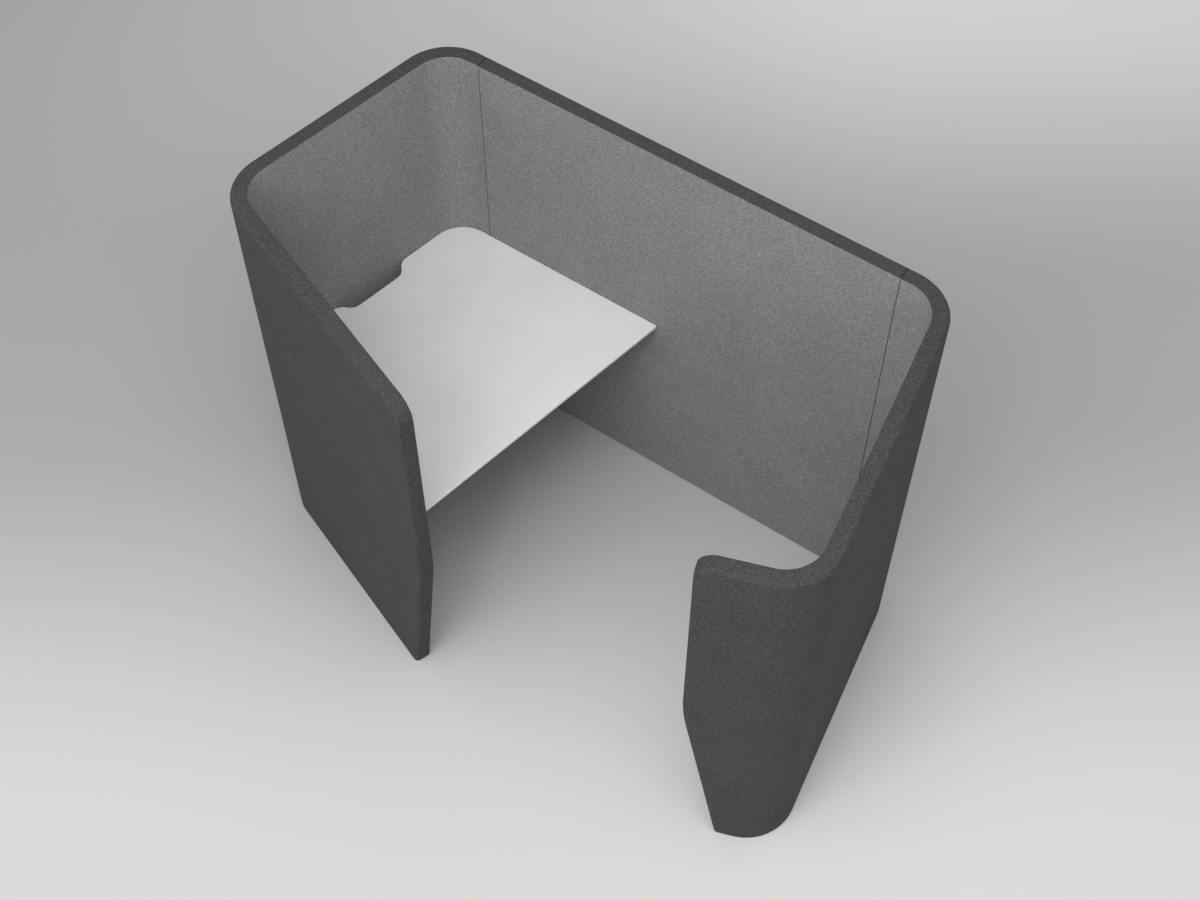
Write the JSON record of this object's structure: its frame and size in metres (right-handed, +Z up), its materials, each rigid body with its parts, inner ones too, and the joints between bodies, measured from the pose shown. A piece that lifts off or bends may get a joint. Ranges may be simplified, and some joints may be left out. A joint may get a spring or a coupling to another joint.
{
  "type": "acoustic office pod",
  "caption": "Felt-covered wall that wraps round a seated worker and opens at the front, with a fixed desk inside and screw feet under it.",
  "frame": {"origin": "on the floor, under the middle of the pod's outline", "axes": "+X to the right seen from the entrance, +Y to the rear, away from the entrance, +Z up"},
  "size_m": [1.972, 1.1424, 1.45],
  "materials": {
    "felt_dark": "matt needled felt, mottled charcoal",
    "felt_light": "matt needled felt, mottled mid grey",
    "foam": "open-cell foam, hidden",
    "wool": "acoustic wool, hidden",
    "plywood": "birch plywood, raw",
    "laminate": "compact laminate, fine matt",
    "coated_steel": "powder coated",
    "zinc_steel": "zinc plated",
    "nylon": "moulded, fine grain"
  },
  "bodies": {
    "pod": {"left_top_rail": "plywood", "left_mid_rail": "plywood", "left_bottom_rail": "plywood", "left_studs": "plywood", "left_end_post": "plywood", "left_outer_skin": "plywood", "left_inner_skin": "plywood", "left_infill": "wool", "left_outer_foam": "foam", "left_inner_foam": "foam", "left_outer_cover": "felt_dark", "left_inner_cover": "felt_light", "back_top_rail": "plywood", "back_mid_rail": "plywood", "back_bottom_rail": "plywood", "back_studs": "plywood", "back_outer_skin": "plywood", "back_inner_skin": "plywood", "back_infill": "wool", "back_outer_foam": "foam", "back_inner_foam": "foam", "back_outer_cover": "felt_dark", "back_inner_cover": "felt_light", "right_top_rail": "plywood", "right_mid_rail": "plywood", "right_bottom_rail": "plywood", "right_studs": "plywood", "right_end_post": "plywood", "right_outer_skin": "plywood", "right_inner_skin": "plywood", "right_infill": "wool", "right_outer_foam": "foam", "right_inner_foam": "foam", "right_outer_cover": "felt_dark", "right_inner_cover": "felt_light", "seam_bolts": "zinc_steel", "seam_nuts": "zinc_steel", "seam_washers": "zinc_steel", "seam_dowels": "plywood", "desk_top": "laminate", "desk_back_angle": "coated_steel", "desk_front_angle": "coated_steel", "desk_bracket_back": "coated_steel", "desk_bracket_front": "coated_steel", "desk_beam": "coated_steel", "desk_screws": "zinc_steel", "angle_bolts": "zinc_steel", "angle_inserts": "zinc_steel", "foot_inserts": "zinc_steel"},
    "foot_left_front": {"foot_left_front": "nylon"},
    "foot_left_front_corner": {"foot_left_front_corner": "nylon"},
    "foot_left_end": {"foot_left_end": "nylon"},
    "foot_left_back_corner": {"foot_left_back_corner": "nylon"},
    "foot_back": {"foot_back": "nylon"},
    "foot_right_back_corner": {"foot_right_back_corner": "nylon"},
    "foot_right_end": {"foot_right_end": "nylon"},
    "foot_right_front_corner": {"foot_right_front_corner": "nylon"}
  },
  "joints": [
    {"name": "left_front_foot_height", "type": "slide", "parent": "pod", "child": "foot_left_front", "axis": [0, 0, -1], "range_m": [0, 0.012]},
    {"name": "left_front_corner_foot_height", "type": "slide", "parent": "pod", "child": "foot_left_front_corner", "axis": [0, 0, -1], "range_m": [0, 0.012]},
    {"name": "left_end_foot_height", "type": "slide", "parent": "pod", "child": "foot_left_end", "axis": [0, 0, -1], "range_m": [0, 0.012]},
    {"name": "left_back_corner_foot_height", "type": "slide", "parent": "pod", "child": "foot_left_back_corner", "axis": [0, 0, -1], "range_m": [0, 0.012]},
    {"name": "back_foot_height", "type": "slide", "parent": "pod", "child": "foot_back", "axis": [0, 0, -1], "range_m": [0, 0.012]},
    {"name": "right_back_corner_foot_height", "type": "slide", "parent": "pod", "child": "foot_right_back_corner", "axis": [0, 0, -1], "range_m": [0, 0.012]},
    {"name": "right_end_foot_height", "type": "slide", "parent": "pod", "child": "foot_right_end", "axis": [0, 0, -1], "range_m": [0, 0.012]},
    {"name": "right_front_corner_foot_height", "type": "slide", "parent": "pod", "child": "foot_right_front_corner", "axis": [0, 0, -1], "range_m": [0, 0.012]}
  ]
}
